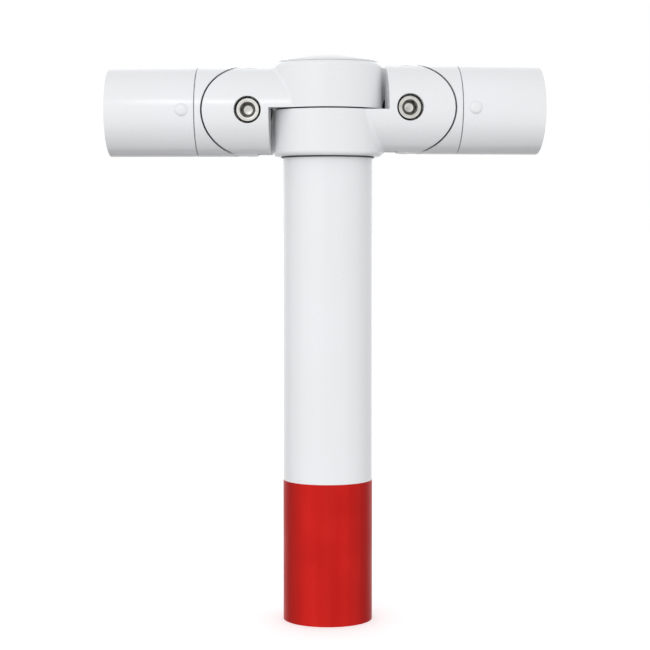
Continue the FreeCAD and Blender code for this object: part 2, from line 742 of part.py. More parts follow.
pieces = make_post() + [make_ring_washer(), make_cap()]
for side, ring in (("left", "upper"), ("right", "lower")):
    pieces.append(make_casting(ring + "_swivel_casting", side))
    pieces.append(make_ring_bush(ring + "_ring_bush", side))
    pieces.append(make_set_screw(ring + "_set_screw", side))
    pieces.append(make_pivot_screw(side + "_pivot_screw", side))
    pieces.append(make_pivot_nut(side + "_pivot_nut", side))
    pieces.append(make_friction_washers(side + "_friction_washers", side))
    pieces.append(make_pivot_bush(side + "_pivot_bush", side))
    pieces.append(make_insert(side + "_tube_insert", side))
    pieces.append(make_rail(side + "_rail_tube", side))
    pieces.append(make_rivet(side + "_rail_rivet", side))
doc.recompute()

for item in doc.Objects:
    if "Invalid" in item.State or "Error" in item.State:
        raise ValueError("%s failed: %s" % (item.Name, item.State))
for piece in pieces:
    if piece.Shape.isNull() or not piece.Shape.isValid():
        raise ValueError(piece.Label + " has no valid shape")

os.makedirs("parts", exist_ok=True)
for piece in pieces:
    piece.Shape.exportStep("parts/%s.step" % piece.Label)
    solids = len(piece.Shape.Solids)
    print("%-24s %d solid(s) %10.1f mm3" % (piece.Label, solids, piece.Shape.Volume))
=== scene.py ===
import json
import math

import bmesh
import bpy
from mathutils import Matrix, Vector


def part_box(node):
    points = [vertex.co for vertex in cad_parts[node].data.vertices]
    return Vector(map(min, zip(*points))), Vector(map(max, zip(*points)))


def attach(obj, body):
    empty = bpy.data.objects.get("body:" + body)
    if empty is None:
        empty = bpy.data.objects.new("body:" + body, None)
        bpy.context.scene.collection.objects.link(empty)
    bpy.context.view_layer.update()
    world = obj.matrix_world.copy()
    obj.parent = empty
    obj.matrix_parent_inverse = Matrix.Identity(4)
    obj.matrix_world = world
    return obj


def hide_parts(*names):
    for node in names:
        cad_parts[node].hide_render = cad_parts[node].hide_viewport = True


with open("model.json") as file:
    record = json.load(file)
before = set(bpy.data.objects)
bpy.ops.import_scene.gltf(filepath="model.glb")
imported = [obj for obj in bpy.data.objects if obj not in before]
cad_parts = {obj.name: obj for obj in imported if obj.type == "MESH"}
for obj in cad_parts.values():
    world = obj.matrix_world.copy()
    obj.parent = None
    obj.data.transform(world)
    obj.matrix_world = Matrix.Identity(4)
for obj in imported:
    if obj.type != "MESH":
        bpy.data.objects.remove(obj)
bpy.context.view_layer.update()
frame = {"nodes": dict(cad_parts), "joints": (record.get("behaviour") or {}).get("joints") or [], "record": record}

# Looks of a rail post junction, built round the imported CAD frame, in metres.
# Turned and threaded pieces are remade here as finer meshes. The castings and
# inserts keep their CAD shape and get painted materials.

MM = 0.001
RECORD = frame["record"]
MOUNTS = {mount["name"]: mount for mount in RECORD["mounts"]}
JOINTS = {joint["name"]: joint for joint in frame["joints"]}
SIDES = {"left": "upper", "right": "lower"}

UP = Vector((0, 0, 1))
QUARTER_TURN = math.pi / 2
FULL_TURN = 2 * math.pi

# Points round a circle, and steps round an eased corner or one turn of a thread.
TUBE_SEGMENTS = 192
FILM_SEGMENTS = 384
HEAD_SEGMENTS = 288
NUT_SEGMENTS = 144
DISC_SEGMENTS = 96
SCREW_SEGMENTS = 72
RIVET_SEGMENTS = 64
ROUND_STEPS = 5
THREAD_STEPS = 8

SHARP_ANGLE = math.radians(32)
POLE_RADIUS = 1e-6

# ------------------------------------------------------------------- places


def pivot_place(side):
    return Vector(JOINTS[side + "_tilt"]["pos_m"])


def arm_matrix(side):
    """Arm frame: X out along the arm from the post's axis, Y to the back."""
    pivot = pivot_place(side)
    start = Vector((0, 0, pivot.z))
    out = (pivot - start).normalized()
    up = UP if side == "right" else -UP
    turn = Matrix((out, up.cross(out), up)).transposed().to_4x4()
    return Matrix.Translation(start) @ turn


def rail_matrix(side):
    """Z out along the arm, from the post's axis."""
    return arm_matrix(side) @ Matrix.Rotation(QUARTER_TURN, 4, "Y")


def front_matrix(side, along):
    """Z to the front, at one distance out along the arm."""
    shift = Matrix.Translation((along, 0, 0))
    return arm_matrix(side) @ shift @ Matrix.Rotation(QUARTER_TURN, 4, "X")


def pivot_matrix(side):
    pivot = pivot_place(side)
    return front_matrix(side, math.hypot(pivot.x, pivot.y))


def span(node, matrix):
    """Lowest and highest corner of a CAD node in a frame of its own."""
    inverse = matrix.inverted()
    points = [inverse @ vertex.co for vertex in frame["nodes"][node].data.vertices]
    least = Vector([min(point[i] for point in points) for i in range(3)])
    most = Vector([max(point[i] for point in points) for i in range(3)])
    return least, most


# -------------------------------------------------------------- mesh helpers


def skin(name, rows, matrix, closed=False):
    """Mesh through rows of points of equal count; a row of one point is a pole."""
    mesh = bpy.data.meshes.new(name)
    made = bmesh.new()
    rings = [[made.verts.new(point) for point in row] for row in rows]
    pairs = list(zip(rings, rings[1:]))
    if closed:
        pairs.append((rings[-1], rings[0]))
    for first, second in pairs:
        count = max(len(first), len(second))
        for i in range(count):
            j = (i + 1) % count
            corners = [first[i % len(first)], first[j % len(first)]]
            corners += [second[j % len(second)], second[i % len(second)]]
            made.faces.new(list(dict.fromkeys(corners)))
    bmesh.ops.recalc_face_normals(made, faces=made.faces)
    made.to_mesh(mesh)
    made.free()
    mesh.shade_smooth()
    mesh.set_sharp_from_angle(angle=SHARP_ANGLE)
    piece = bpy.data.objects.new(name, mesh)
    piece.matrix_world = matrix
    bpy.context.scene.collection.objects.link(piece)
    return piece


def eased(corners, closed=True):
    """Outline with its corners rounded. A corner is (across, up) or (across, up, radius)."""
    points = []
    count = len(corners)
    for i, corner in enumerate(corners):
        here = Vector(corner[:2])
        if len(corner) == 2 or (not closed and i in (0, count - 1)):
            points.append(here)
            continue
        before = (Vector(corners[i - 1][:2]) - here).normalized()
        after = (Vector(corners[(i + 1) % count][:2]) - here).normalized()
        half = before.angle(after) / 2
        centre = here + (before + after).normalized() * corner[2] / math.sin(half)
        start = here + before * corner[2] / math.tan(half) - centre
        end = here + after * corner[2] / math.tan(half) - centre
        for step in range(ROUND_STEPS + 1):
            turned = start.lerp(end, step / ROUND_STEPS).normalized() * corner[2]
            points.append(centre + turned)
    return points


def shaped_row(shape, height, segments):
    """Row whose radius is a function of the angle."""
    row = []
    for i in range(segments):
        angle = FULL_TURN * i / segments
        radius = shape(angle)
        row.append(Vector((radius * math.cos(angle), radius * math.sin(angle), height)))
    return row


def ring_row(radius, height, segments):
    """Round row, or a pole where the radius is nought."""
    if radius < POLE_RADIUS:
        return [Vector((0, 0, height))]
    return shaped_row(lambda angle: radius, height, segments)


def lathe(name, outline, matrix, segments, closed=True):
    """Turned piece from an outline of (radius, height) points."""
    rows = [ring_row(point.x, point.y, segments) for point in outline]
    return skin(name, rows, matrix, closed)


def hexagon(flats):
    """Radius of a hexagon by the angle, from its width across the flats."""
    sector = math.pi / 3

    def shape(angle):
        return flats / 2 / math.cos(angle % sector - sector / 2)

    return shape


def tube_outline(outer, inner, low_end, high_end, ease):
    """Section of a tube with all four corners eased."""
    corners = [(inner, low_end, ease), (outer, low_end, ease)]
    corners += [(outer, high_end, ease), (inner, high_end, ease)]
    return eased(corners)


def thread_rows(radius, depth, pitch, start, end, segments):
    """Rows of a helical thread, running out at both ends."""
    rows = []
    steps = int(abs(end - start) / pitch * THREAD_STEPS)
    for step in range(steps + 1):
        height = start + (end - start) * step / steps
        fade = min(1, min(abs(height - start), abs(height - end)) / pitch)

        def shape(angle, height=height, fade=fade):
            phase = (height / pitch - angle / FULL_TURN) % 1
            return radius - depth * fade * abs(2 * phase - 1)

        rows.append(shaped_row(shape, height, segments))
    return rows


def place(piece, body, slot, material, *nodes):
    """Give a piece its material, its body and the CAD nodes that it stands for."""
    piece.data.materials.append(material)
    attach(piece, body)
    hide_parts(*nodes)
    return piece


# ---------------------------------------------------------------- materials


def new_material(name, **sockets):
    material = bpy.data.materials.new(name)
    material.use_nodes = True
    shader = material.node_tree.nodes["Principled BSDF"]
    for socket, value in sockets.items():
        shader.inputs[socket.replace("_", " ")].default_value = value
    return material, shader


def add(owner, kind, inputs=(), **settings):
    """Add a node to a material or world. A list of (input, value or socket) fills it."""
    tree = owner.node_tree
    node = tree.nodes.new("ShaderNode" + kind)
    for name, value in settings.items():
        setattr(node, name, value)
    for socket, value in inputs:
        if isinstance(value, bpy.types.NodeSocket):
            tree.links.new(value, node.inputs[socket])
        else:
            node.inputs[socket].default_value = value
    return node


def link(material, output, target):
    material.node_tree.links.new(output, target)


def noise(material, coords, scale, detail, roughness=0.5):
    values = [("Vector", coords), ("Scale", scale), ("Detail", detail), ("Roughness", roughness)]
    return add(material, "TexNoise", values).outputs["Fac"]


def remap(owner, value, source, target, interpolation="LINEAR"):
    """Carry one range of values over to another, clamped at both ends."""
    sockets = [("Value", value), ("From Min", source[0]), ("From Max", source[1])]
    sockets += [("To Min", target[0]), ("To Max", target[1])]
    return add(owner, "MapRange", sockets, interpolation_type=interpolation).outputs["Result"]


def blend_colour(material, factor, first, second):
    """Mix two colours; sockets 6 and 7 are the colour inputs of a Mix node."""
    sockets = [(0, factor), (6, first), (7, second)]
    return add(material, "Mix", sockets, data_type="RGBA").outputs[2]


def object_coords(material):
    return add(material, "TexCoord").outputs["Object"]


def bumps(material, shader, layers):
    """Chain of bump nodes: (height socket, strength, distance) for each."""
    normal = None
    for height, strength, distance in layers:
        sockets = [("Height", height), ("Strength", strength), ("Distance", distance)]
        if normal:
            sockets.append(("Normal", normal))
        normal = add(material, "Bump", sockets).outputs["Normal"]
    link(material, normal, shader.inputs["Normal"])


CREVICE_SAMPLES = 8
CREVICE_REACH = 1.5 * MM


def crevice(material, reach):
    """One in the open, falling towards nought in creases and gaps."""
    sockets = [("Distance", reach)]
    return add(material, "AmbientOcclusion", sockets, samples=CREVICE_SAMPLES).outputs["AO"]


# Ranges of noise that a look is spread over: nearly all of it, or its busy middle.
WIDE = (0.1, 0.9)
MIDDLE = (0.3, 0.7)

# Powder coat: colours, the share of each channel left where it clouds, and its texture.
COAT_WHITE = (0.812, 0.818, 0.832, 1)
CAP_TONE = (0.74, 0.75, 0.76, 1)
SPECK = (0.62, 0.62, 0.60, 1)
SPECK_RANGE = (0.70, 0.76)
SPECK_SHARE = 0.35
COAT_SHADE = (0.965, 0.965, 0.955)
COAT_ROUGHNESS = (0.2, 0.268)
PEEL_DEPTH = 0.1 * MM
GRAIN_DEPTH = 0.03 * MM

# Red film: colours, stretch of its upright streaks of painted reflection, and how far it fades.
FILM_RED = (0.51, 0.005, 0.003, 1)
FILM_SHEEN = (0.61, 0.016, 0.011, 1)
FILM_DARK = (0.44, 0.005, 0.003, 1)
FILM_STRETCH = (110.0, 110.0, 4.0)
FILM_FADING = 0.6
FILM_ROUGHNESS = (0.34, 0.5)
RIPPLE_DEPTH = 0.1 * MM

# Nylon.
NYLON_DARK = (0.010, 0.010, 0.011, 1)
NYLON_LIGHT = (0.022, 0.022, 0.023, 1)
NYLON_ROUGHNESS = (0.42, 0.6)
NYLON_DEPTH = 0.04 * MM

# Turned metal: shade painted darker into creases, stains, tool marks and wear, which adds to the roughness.
CREASE_SHADE = (0.02, 0.019, 0.018, 1)
CREASE_SHADE_SHARE = 0.6
STAIN_SHARE = 0.6
TOOL_WANDER = 0.2 * MM
MARK_DEPTH = 0.03 * MM
STAIN_DEPTH = 0.05 * MM
WEAR = 0.15


def powder_coat(name, tone, grain):
    """White powder coat: orange peel, faint clouding, fine specks, uneven gloss."""
    material, shader = new_material(name, IOR=1.5)
    coords = object_coords(material)
    clouds = noise(material, coords, scale=14.0, detail=2.0, roughness=0.45)
    shaded = [channel * share for channel, share in zip(tone, COAT_SHADE)] + [1]
    body = blend_colour(material, remap(material, clouds, WIDE, (0, 1)), tone, shaded)
    specks = noise(material, coords, scale=900.0, detail=1.0, roughness=0.4)
    dust = remap(material, specks, SPECK_RANGE, (0, SPECK_SHARE))
    link(material, blend_colour(material, dust, body, SPECK), shader.inputs["Base Color"])
    smears = noise(material, coords, scale=30.0, detail=2.0)
    link(material, remap(material, smears, WIDE, COAT_ROUGHNESS), shader.inputs["Roughness"])
    peel = noise(material, coords, scale=420.0, detail=2.0)
    fine = noise(material, coords, scale=1500.0, detail=2.0)
    layers = [(peel, 0.35 * grain, PEEL_DEPTH), (fine, 0.25 * grain, GRAIN_DEPTH)]
    bumps(material, shader, layers)
    return material


def red_film():
    """Red reflective film: faint upright streaks of painted reflection, uneven fading and gloss, slight ripple."""
    material, shader = new_material("red_film", Metallic=0.55, Specular_IOR_Level=0.2)
    coords = object_coords(material)
    stretch = [("Vector", coords), ("Scale", FILM_STRETCH)]
    upright = add(material, "Mapping", stretch).outputs["Vector"]
    # Painted reflection: lighter upright streaks in the colour.
    sheen_streaks = noise(material, upright, scale=1.0, detail=3.0, roughness=0.55)
    clouds = noise(material, coords, scale=40.0, detail=2.0, roughness=0.45)
    painted_sheen = remap(material, sheen_streaks, (0.2, 0.8), (0, 1))
    base = blend_colour(material, painted_sheen, FILM_RED, FILM_SHEEN)
    fading = remap(material, clouds, WIDE, (0, FILM_FADING))
    faded = blend_colour(material, fading, base, FILM_DARK)
    link(material, faded, shader.inputs["Base Color"])
    link(material, remap(material, clouds, WIDE, FILM_ROUGHNESS), shader.inputs["Roughness"])
    ripple = noise(material, coords, scale=160.0, detail=2.0)
    fine = noise(material, coords, scale=1100.0, detail=2.0)
    bumps(material, shader, [(ripple, 0.25, RIPPLE_DEPTH), (fine, 0.2, GRAIN_DEPTH)])
    return material


def nylon():
    """Black nylon: slightly mottled, with a fine moulded grain."""
    material, shader = new_material("nylon", IOR=1.5)
    coords = object_coords(material)
    clouds = noise(material, coords, scale=60.0, detail=4.0, roughness=0.6)
    colour = blend_colour(material, clouds, NYLON_DARK, NYLON_LIGHT)
    link(material, colour, shader.inputs["Base Color"])
    link(material, remap(material, clouds, MIDDLE, NYLON_ROUGHNESS), shader.inputs["Roughness"])
    fine = noise(material, coords, scale=1400.0, detail=2.0)
    bumps(material, shader, [(fine, 0.3, NYLON_DEPTH)])
    return material


def radial_lines(material, coords):
    """Coordinate that grows outwards from the piece's own Z axis, and wanders a little."""
    flat = add(material, "VectorMath", [(0, coords), (1, (1, 1, 0))], operation="MULTIPLY")
    length = add(material, "VectorMath", [(0, flat.outputs[0])], operation="LENGTH")
    wander = noise(material, coords, scale=120.0, detail=2.0)
    shift = add(material, "Math", [(0, wander), (1, TOOL_WANDER)], operation="MULTIPLY")
    sockets = [(0, length.outputs["Value"]), (1, shift.outputs[0])]
    rings = add(material, "Math", sockets, operation="ADD").outputs[0]
    return add(material, "CombineXYZ", [("X", rings)]).outputs["Vector"]


def turned_metal(name, dark, light, roughness, stain):
    """Metal with concentric tool marks, stains, and shade painted darker into its creases."""
    material, shader = new_material(name, Metallic=1.0, Anisotropic=0.4)
    coords = object_coords(material)
    lines = radial_lines(material, coords)
    marks = noise(material, lines, scale=5200.0, detail=3.0, roughness=0.7)
    clouds = noise(material, coords, scale=180.0, detail=4.0, roughness=0.6)
    base = blend_colour(material, remap(material, marks, MIDDLE, (0, 1)), dark, light)
    stained = remap(material, clouds, (0.5, 0.75), (0, STAIN_SHARE))
    spotted = blend_colour(material, stained, base, stain)
    # Painted shade: the colour darkens where ambient occlusion finds creases and gaps.
    painted_crease_shade = remap(material, crevice(material, CREVICE_REACH), (0.1, 0.6), (CREASE_SHADE_SHARE, 0))
    link(material, blend_colour(material, painted_crease_shade, spotted, CREASE_SHADE), shader.inputs["Base Color"])
    worn = remap(material, clouds, MIDDLE, (roughness, roughness + WEAR))
    link(material, worn, shader.inputs["Roughness"])
    bumps(material, shader, [(marks, 0.25, MARK_DEPTH), (clouds, 0.15, STAIN_DEPTH)])
    return material


COAT = powder_coat("white_powder_coat", COAT_WHITE, grain=0.7)
CASTING = powder_coat("white_casting", COAT_WHITE, grain=1.0)
CAP_WHITE = powder_coat("white_cap", CAP_TONE, grain=0.5)
RIVET_WHITE = powder_coat("rivet_coat", COAT_WHITE, grain=0.4)
FILM = red_film()
NYLON = nylon()
SCREW_STEEL = turned_metal(
    "screw_steel",
    dark=(0.56, 0.55, 0.515, 1),
    light=(0.69, 0.675, 0.64, 1),
    roughness=0.30,
    stain=(0.42, 0.40, 0.36, 1),
)
# Black of the screw, which is also painted as shade on its socket's walls and floor.
SCREW_BLACK_AND_SHADE = turned_metal(
    "screw_black_and_socket_shade",
    dark=(0.08, 0.079, 0.073, 1),
    light=(0.14, 0.137, 0.128, 1),
    roughness=0.36,
    stain=(0.05, 0.048, 0.044, 1),
)
ZINC = turned_metal(
    "zinc_steel",
    dark=(0.50, 0.50, 0.49, 1),
    light=(0.64, 0.64, 0.62, 1),
    roughness=0.30,
    stain=(0.42, 0.41, 0.38, 1),
)
BRONZE = turned_metal(
    "bush_bronze",
    dark=(0.50, 0.33, 0.16, 1),
    light=(0.66, 0.46, 0.24, 1),
    roughness=0.28,
    stain=(0.36, 0.24, 0.13, 1),
)

# ------------------------------------------------------------- post and cap

# Eased corners, and the play of the bushes on the post.
TUBE_EASE = 0.5 * MM
WASHER_EASE = 0.15 * MM
BUSH_EASE = 0.3 * MM
BUSH_PLAY = 0.08 * MM

# Film: glue under it, trimmed edges, and its overlap, whose rise is a share of its thickness.
FILM_GLUE = 0.02 * MM
FILM_TRIM = 0.05 * MM
FILM_LAP_START = math.radians(70)
FILM_LAP = math.radians(16)
FILM_LAP_RISE = 0.6

# Cap: recess over the post's end, rim, drop of its lip towards the ring, and plug.
CAP_RECESS = 1.2 * MM
CAP_RIM = 0.9 * MM
CAP_DROP = 0.17 * MM
CAP_LIP = 1.6 * MM
CAP_SKIN = 1.7 * MM
CAP_STEPS = 28
CROWN_EASE = 0.4 * MM
LIP_EASE = 0.1 * MM
PLUG_STEP = 0.4 * MM
PLUG_WALL = 2.6 * MM
PLUG_EASE = 0.6 * MM


def make_post():
    """Tube of the post, eased at both ends."""
    least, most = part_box("post_tube")
    bore = MOUNTS["post_foot"]["dims"]["r_mm"] * MM
    outline = tube_outline(most.x, bore, least.z, most.z, TUBE_EASE)
    tube = lathe("post_shell", outline, Matrix(), TUBE_SEGMENTS)
    place(tube, "post", "white_powder_coat", COAT, "post_tube")


def make_film():
    """Film wrapped once round the post, with a narrow overlap at the back."""
    least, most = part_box("red_film_band")
    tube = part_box("post_tube")[1].x
    thick = most.x - tube

    def wrapped(angle):
        lap = (angle - FILM_LAP_START) / FILM_LAP
        return most.x + (thick * FILM_LAP_RISE if 0 <= lap <= 1 else 0)

    rows = [ring_row(tube + FILM_GLUE, least.z, FILM_SEGMENTS)]
    rows.append(shaped_row(wrapped, least.z + FILM_TRIM, FILM_SEGMENTS))
    rows.append(shaped_row(wrapped, most.z - FILM_TRIM, FILM_SEGMENTS))
    rows.append(ring_row(tube + FILM_GLUE, most.z, FILM_SEGMENTS))
    film = skin("red_film_wrap", rows, Matrix(), closed=True)
    place(film, "post", "red_film", FILM, "red_film_band")


def make_cap():
    """Domed cap with a softly rounded rim, over a plug in the post."""
    least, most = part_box("post_cap")
    post_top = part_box("post_tube")[1].z
    radius = most.x
    base = post_top - CAP_RECESS
    rim_top = base + CAP_RIM
    rise = most.z - rim_top
    sphere = (radius ** 2 + rise ** 2) / (2 * rise)
    centre = most.z - sphere
    sweep = math.asin(radius / sphere)
    plug = MOUNTS["post_foot"]["dims"]["r_mm"] * MM + PLUG_STEP
    outline = []
    for step in range(CAP_STEPS):
        angle = sweep * step / CAP_STEPS
        outline.append(Vector((sphere * math.sin(angle), centre + sphere * math.cos(angle))))
    edge = base - CAP_DROP
    lip = [outline[-1], (radius, rim_top, CROWN_EASE), (radius, edge, LIP_EASE)]
    lip += [(radius - CAP_LIP, edge), (radius - CAP_LIP, post_top), (plug, post_top)]
    lip += [(plug, least.z, PLUG_EASE), (plug - PLUG_WALL, least.z)]
    lip += [(plug - PLUG_WALL, post_top + CAP_SKIN), (0, post_top + CAP_SKIN)]
    outline += eased(lip, closed=False)[1:]
    cap = lathe("domed_cap", outline, Matrix(), TUBE_SEGMENTS, closed=False)
    place(cap, "post", "white_cap", CAP_WHITE, "post_cap")


def make_slide_washer():
    """Washer between the two rings."""
    least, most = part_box("ring_slide_washer")
    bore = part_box("post_tube")[1].x + BUSH_PLAY
    outline = tube_outline(most.x, bore, least.z, most.z, WASHER_EASE)
    washer = lathe("slide_washer", outline, Matrix(), TUBE_SEGMENTS)
    place(washer, "post", "nylon", NYLON, "ring_slide_washer")


# --------------------------------------------------------------- arm pieces

# Set screw: point and rim as shares of its radius, M8 thread, 4 mm key.
SET_POINT = 0.6
SET_RIM = 0.8
M8_PITCH = 1.25 * MM
M8_DEPTH = 0.7 * MM
SET_KEY = 4.0 * MM
SET_KEY_DEPTH = 3.0 * MM

# Key sockets: eased mouth, and a drilled point as a share of the key, with its slope.
KEY_EASE = 0.3 * MM
DRILL_SHARE = 0.37
DRILL_SLOPE = 0.55

# Pivot screw: M10 shank and thread, knurled head, 8 mm key, and a bright face whose
# inner edge is a share of the key. FACE_ON is how squarely a bright facet faces out.
SHANK = 5 * MM
M10_PITCH = 1.5 * MM
M10_DEPTH = 0.85 * MM
THREAD_TOP = 2 * MM
HEAD_HEIGHT = 10 * MM
HEAD_BAND = 1.6 * MM
HEAD_CHAMFER = 0.5 * MM
FACE_RIM = 1.2 * MM
KNURL_COUNT = 72
KNURL_DEPTH = 0.22 * MM
KNURL_CHAMFER = 0.3 * MM
PIVOT_KEY = 8 * MM
PIVOT_KEY_DEPTH = 5 * MM
KEY_RIM = 0.66
FACE_ON = 0.8
FACE_SKIN = 0.05 * MM

# Nut: corners turned off by a share of its corner radius, and its bore.
NUT_STEPS = 6
NUT_CUT = 0.1
NUT_SLOPE = 0.58
NUT_BORE_PLAY = 0.02 * MM
NUT_BORE_EASE = 0.5 * MM

# Friction washers and tongue bush on the pivot screw.
DISC_THICK = 0.8 * MM
DISC_PLAY = 0.1 * MM
PIN_PLAY = 0.06 * MM

# Rail tube.
RAIL_EASE = 0.45 * MM
SEAM_GAP = 0.7 * MM

# Rivet: its head starts a little inside the tube's round.
RIVET_SHANK = 2.4 * MM
RIVET_STEPS = 14
RIVET_SINK = 0.2 * MM


def make_liner(side, ring):
    """Liner bush of a ring, running on the post."""
    node = ring + "_ring_bush"
    matrix = arm_matrix(side)
    least, most = span(node, matrix)
    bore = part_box("post_tube")[1].x + BUSH_PLAY
    outline = tube_outline(most.x, bore, least.z, most.z, BUSH_EASE)
    liner = lathe(ring + "_liner", outline, matrix, TUBE_SEGMENTS)
    place(liner, side + "_swivel", "nylon", NYLON, node)


def make_set_screw(side, ring):
    """Threaded socket screw in the back of the ring."""
    node = ring + "_set_screw"
    low, high = span(node, arm_matrix(side))
    lift = Matrix.Translation((0, 0, (low.z + high.z) / 2))
    matrix = arm_matrix(side) @ lift @ Matrix.Rotation(-QUARTER_TURN, 4, "X")
    least, most = span(node, matrix)
    radius = most.x
    start = least.z + M8_PITCH / 2
    end = most.z - M8_PITCH / 2
    rows = [ring_row(0, least.z, SCREW_SEGMENTS)]
    rows.append(ring_row(radius * SET_POINT, least.z, SCREW_SEGMENTS))
    rows += thread_rows(radius, M8_DEPTH, M8_PITCH, start, end, SCREW_SEGMENTS)
    rows.append(ring_row(radius * SET_RIM, most.z, SCREW_SEGMENTS))
    rows.append(shaped_row(hexagon(SET_KEY + KEY_EASE), most.z, SCREW_SEGMENTS))
    rows += socket_rows(SET_KEY, most.z - KEY_EASE, most.z - SET_KEY_DEPTH, SCREW_SEGMENTS)
    screw = skin(ring + "_grip_screw", rows, matrix)
    place(screw, side + "_swivel", "zinc_steel", ZINC, node)


def socket_rows(flats, top, bottom, segments):
    """Rows down a hexagon socket to its drilled point."""
    drill = flats * DRILL_SHARE
    rows = [shaped_row(hexagon(flats), top, segments)]
    rows.append(shaped_row(hexagon(flats), bottom, segments))
    rows.append(ring_row(drill, bottom, segments))
    rows.append(ring_row(0, bottom - drill * DRILL_SLOPE, segments))
    return rows


def knurl_shape(radius):
    """Radius of a knurled head by the angle."""

    def shape(angle):
        tooth = (angle / FULL_TURN * KNURL_COUNT) % 1
        return radius - KNURL_DEPTH * abs(2 * tooth - 1)

    return shape


def make_pivot_screw(side):
    """Socket head cap screw: knurled head, turned face, threaded end."""
    node = side + "_pivot_screw"
    matrix = pivot_matrix(side)
    least, most = span(node, matrix)
    radius = most.x
    root = radius - KNURL_DEPTH
    face = most.z
    under = face - HEAD_HEIGHT
    start = least.z + M10_PITCH / 2
    rows = [ring_row(0, least.z, HEAD_SEGMENTS)]
    rows.append(ring_row(SHANK - M10_DEPTH, least.z, HEAD_SEGMENTS))
    rows += thread_rows(SHANK, M10_DEPTH, M10_PITCH, start, THREAD_TOP, HEAD_SEGMENTS)
    rows.append(ring_row(SHANK, under, HEAD_SEGMENTS))
    rows.append(ring_row(radius - KNURL_CHAMFER, under, HEAD_SEGMENTS))
    rows.append(shaped_row(knurl_shape(radius), under + KNURL_CHAMFER, HEAD_SEGMENTS))
    rows.append(shaped_row(knurl_shape(radius), face - HEAD_BAND, HEAD_SEGMENTS))
    corners = [(root, face - HEAD_BAND + KNURL_CHAMFER)]
    corners += [(root, face, HEAD_CHAMFER), (radius - FACE_RIM, face)]
    for point in eased(corners, closed=False):
        rows.append(ring_row(point.x, point.y, HEAD_SEGMENTS))
    rows.append(ring_row(PIVOT_KEY * KEY_RIM, face, HEAD_SEGMENTS))
    rows.append(shaped_row(hexagon(PIVOT_KEY + KEY_EASE), face - KEY_EASE, HEAD_SEGMENTS))
    rows += socket_rows(PIVOT_KEY, face - 2 * KEY_EASE, face - PIVOT_KEY_DEPTH, HEAD_SEGMENTS)
    screw = skin(side + "_cap_screw", rows, matrix)
    place(screw, side + "_swivel", "screw_steel", SCREW_STEEL, node)
    blacken_and_shade_socket(screw, face)


def blacken_and_shade_socket(screw, face_height):
    """Leave the turned face bright and blacken the rest. The black on the socket's walls and floor is painted
    shade, and the drilled point stays bright steel to show the highlight in the socket.
    """
    screw.data.materials.append(SCREW_BLACK_AND_SHADE)
    drill = PIVOT_KEY * DRILL_SHARE
    # Painted shade: the socket's walls and floor take the black material, and the drilled point stays bright for
    # its highlight.
    for face in screw.data.polygons:
        across = math.hypot(face.center.x, face.center.y)
        bright = across < drill or face.center.z > face_height - FACE_SKIN
        if not bright or abs(face.normal.z) < FACE_ON:
            face.material_index = 1


def clipped(shape, limit):
    """Shape cut back to a circle."""

    def inside(angle):
        return min(shape(angle), limit)

    return inside


def make_pivot_nut(side):
    """Hexagon nut with its corners turned off on both faces."""
    node = side + "_pivot_nut"
    matrix = pivot_matrix(side)
    least, most = span(node, matrix)
    flats = hexagon(2 * most.x)
    corner = 2 * most.x / math.sqrt(3)
    rows = []
    for step in range(NUT_STEPS + 1):
        share = step / NUT_STEPS
        depth = corner * NUT_CUT * (1 - share)
        height = least.z + corner * NUT_CUT * NUT_SLOPE * share
        turned = clipped(flats, corner - depth / NUT_SLOPE)
        rows.append(shaped_row(turned, height, NUT_SEGMENTS))
    mirrored = []
    for row in reversed(rows):
        height = least.z + most.z - row[0].z
        mirrored.append([Vector((point.x, point.y, height)) for point in row])
    rows += mirrored
    rows.append(ring_row(SHANK + NUT_BORE_EASE, most.z, NUT_SEGMENTS))
    rows.append(ring_row(SHANK + NUT_BORE_PLAY, most.z - NUT_BORE_EASE, NUT_SEGMENTS))
    rows.append(ring_row(SHANK + NUT_BORE_PLAY, least.z + NUT_BORE_EASE, NUT_SEGMENTS))
    rows.append(ring_row(SHANK + NUT_BORE_EASE, least.z, NUT_SEGMENTS))
    nut = skin(side + "_hex_nut", rows, matrix, closed=True)
    place(nut, side + "_swivel", "zinc_steel", ZINC, node)


def make_friction_washers(side):
    """Two discs, one each side of the tongue."""
    node = side + "_friction_washers"
    matrix = pivot_matrix(side)
    least, most = span(node, matrix)
    bore = SHANK + DISC_PLAY
    for end, start in (("front", most.z - DISC_THICK), ("back", least.z)):
        outline = tube_outline(most.x, bore, start, start + DISC_THICK, WASHER_EASE)
        disc = lathe("%s_%s_friction_disc" % (side, end), outline, matrix, DISC_SEGMENTS)
        place(disc, side + "_swivel", "nylon", NYLON, node)


def make_pivot_bush(side):
    """Bush in the tongue, running on the pivot screw."""
    node = side + "_pivot_bush"
    matrix = pivot_matrix(side)
    least, most = span(node, matrix)
    outline = tube_outline(most.x, SHANK + PIN_PLAY, least.z, most.z, BUSH_EASE)
    bush = lathe(side + "_tongue_bush", outline, matrix, DISC_SEGMENTS)
    place(bush, side + "_rail", "bush_bronze", BRONZE, node)


def make_rail(side):
    """Rail tube, with a fine seam where it meets the insert's collar."""
    node = side + "_rail_tube"
    matrix = rail_matrix(side)
    least, most = span(node, matrix)
    bore = MOUNTS[side + "_rail_end"]["dims"]["r_mm"] * MM
    outline = tube_outline(most.x, bore, least.z + SEAM_GAP, most.z, RAIL_EASE)
    rail = lathe(side + "_rail_shell", outline, matrix, TUBE_SEGMENTS)
    place(rail, side + "_rail", "white_powder_coat", COAT, node)


